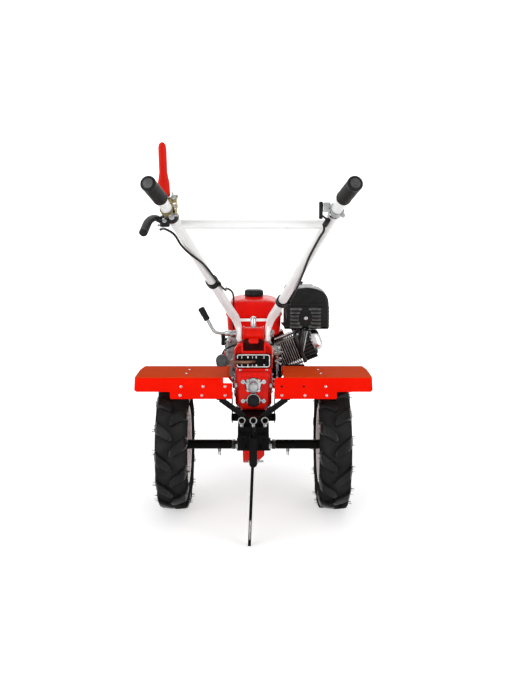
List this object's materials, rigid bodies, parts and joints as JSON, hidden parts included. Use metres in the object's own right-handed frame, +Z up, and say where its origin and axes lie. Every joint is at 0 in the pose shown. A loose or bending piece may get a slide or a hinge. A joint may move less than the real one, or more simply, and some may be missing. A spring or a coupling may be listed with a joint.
{
  "type": "walking tractor",
  "caption": "Two-wheeled walking tractor with a gearbox, side-tilted petrol engine, tilting handlebar, wheel guards, rear hitch and depth coulter.",
  "frame": {"origin": "on the floor under the centre of the bounding box, on the machine's centre line", "axes": "+X to the operator's right, +Y forward towards the engine, +Z up"},
  "size_m": [0.816, 1.5258, 1.2767],
  "materials": {
    "red_casting": "satin red paint on a casting",
    "red_sheet": "glossy red paint",
    "plated_steel": "bright plated steel",
    "black_paint": "satin black paint",
    "black_plastic": "matt black plastic",
    "cast_alloy": "as-cast alloy",
    "white_paint": "pale powder coat",
    "black_rubber": "soft black rubber",
    "zinc_plate": "yellow zinc plate",
    "tyre_rubber": "black tyre rubber"
  },
  "bodies": {
    "chassis": {"gearbox_case": "red_casting", "gearbox_cover": "red_casting", "pto_cap": "plated_steel", "pto_ring": "plated_steel", "pto_plug": "black_plastic", "gear_plate": "black_paint", "gear_lever": "plated_steel", "gear_knob": "black_plastic", "clutch_housing": "cast_alloy", "engine_rails": "black_paint", "crankcase": "cast_alloy", "cylinder": "cast_alloy", "cylinder_head": "cast_alloy", "valve_cover": "plated_steel", "fan_housing": "red_sheet", "recoil_starter": "black_paint", "fuel_tank": "red_sheet", "fuel_cap": "black_plastic", "muffler": "plated_steel", "muffler_guard": "black_paint", "air_cleaner": "black_plastic", "carburettor": "cast_alloy", "pedestal": "red_casting", "wheel_guard_left": "red_sheet", "wheel_guard_right": "red_sheet", "guard_braces": "black_paint", "hitch": "black_paint", "hitch_pins": "plated_steel", "coulter": "black_paint", "coulter_pin": "plated_steel", "clutch_linkage": "plated_steel", "front_guard": "black_paint", "clutch_cable_lower": "black_rubber", "throttle_cable_lower": "black_rubber"},
    "handlebar": {"handlebar": "white_paint", "lock_plunger": "plated_steel", "grip_left": "black_rubber", "grip_right": "black_rubber", "clamp_bolt": "plated_steel", "clamp_grip": "black_rubber", "stop_lever": "red_sheet", "stop_bracket": "zinc_plate", "clutch_lever": "black_plastic", "throttle_clamp": "plated_steel", "throttle_lever": "black_plastic", "cable_clips": "black_rubber", "clutch_cable": "black_rubber", "throttle_cable": "black_rubber"},
    "wheel_left": {"tyre_left": "tyre_rubber", "rim_left": "white_paint", "axle_tube_left": "black_paint", "axle_shaft_left": "plated_steel", "axle_clip_left": "plated_steel"},
    "wheel_right": {"tyre_right": "tyre_rubber", "rim_right": "white_paint", "axle_tube_right": "black_paint", "axle_shaft_right": "plated_steel", "axle_clip_right": "plated_steel"}
  },
  "joints": [
    {"name": "wheel_left_spin", "type": "hinge", "parent": "chassis", "child": "wheel_left", "pos_m": [-0.286, 0.2325, 0.235], "axis": [1, 0, 0], "continuous": true},
    {"name": "wheel_right_spin", "type": "hinge", "parent": "chassis", "child": "wheel_right", "pos_m": [0.286, 0.2325, 0.235], "axis": [1, 0, 0], "continuous": true},
    {"name": "handlebar_tilt", "type": "hinge", "parent": "chassis", "child": "handlebar", "pos_m": [0, 0.1425, 0.66], "axis": [1, 0, 0], "range_deg": [-8, 20], "deforming": ["clutch_cable_lower", "throttle_cable_lower"]}
  ]
}
